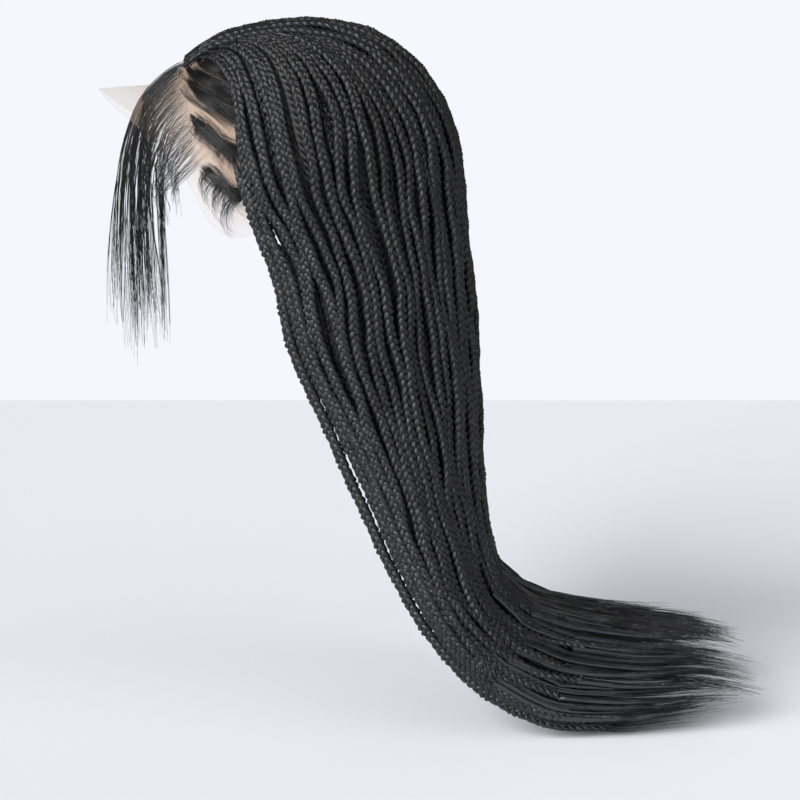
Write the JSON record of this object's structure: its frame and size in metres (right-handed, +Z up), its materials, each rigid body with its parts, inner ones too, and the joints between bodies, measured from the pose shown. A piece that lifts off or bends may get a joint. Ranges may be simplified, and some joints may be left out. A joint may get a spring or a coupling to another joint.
{
  "type": "braid wig",
  "caption": "Long black box-braid wig on a lace-front cap, with braids that fall past the back of the neck to loose straight ends, and fine hair left free at the hairline.",
  "frame": {"origin": "inside of the cap's crown, where the top of the head touches it", "axes": "+Z up, -X the way the face looks, -Y the wearer's left side, so the braids fall and trail towards +X"},
  "size_m": [0.469, 0.2, 0.4919],
  "materials": {
    "stretch_net": "black stretch net",
    "sheer_lace": "sheer beige lace",
    "synthetic_hair": "satin black braiding fibre"
  },
  "bodies": {
    "root": {"cap_net": "stretch_net", "lace_front": "sheer_lace", "braid_lock_left_1": "synthetic_hair", "braid_lock_left_2": "synthetic_hair", "braid_lock_left_3": "synthetic_hair", "braid_lock_left_4": "synthetic_hair", "braid_lock_left_5": "synthetic_hair", "braid_lock_left_6": "synthetic_hair", "braid_lock_left_7": "synthetic_hair", "braid_lock_left_8": "synthetic_hair", "braid_lock_left_9": "synthetic_hair", "under_lock_left_1": "synthetic_hair", "under_lock_left_2": "synthetic_hair", "under_lock_left_3": "synthetic_hair", "temple_row_left_1": "synthetic_hair", "temple_row_left_2": "synthetic_hair", "temple_row_left_3": "synthetic_hair", "front_braid_left_1": "synthetic_hair", "front_braid_left_2": "synthetic_hair", "front_fringe_left": "synthetic_hair", "braid_lock_right_1": "synthetic_hair", "braid_lock_right_2": "synthetic_hair", "braid_lock_right_3": "synthetic_hair", "braid_lock_right_4": "synthetic_hair", "braid_lock_right_5": "synthetic_hair", "braid_lock_right_6": "synthetic_hair", "braid_lock_right_7": "synthetic_hair", "braid_lock_right_8": "synthetic_hair", "braid_lock_right_9": "synthetic_hair", "under_lock_right_1": "synthetic_hair", "under_lock_right_2": "synthetic_hair", "under_lock_right_3": "synthetic_hair", "temple_row_right_1": "synthetic_hair", "temple_row_right_2": "synthetic_hair", "temple_row_right_3": "synthetic_hair", "front_braid_right_1": "synthetic_hair", "front_braid_right_2": "synthetic_hair", "front_fringe_right": "synthetic_hair"}
  },
  "joints": []
}
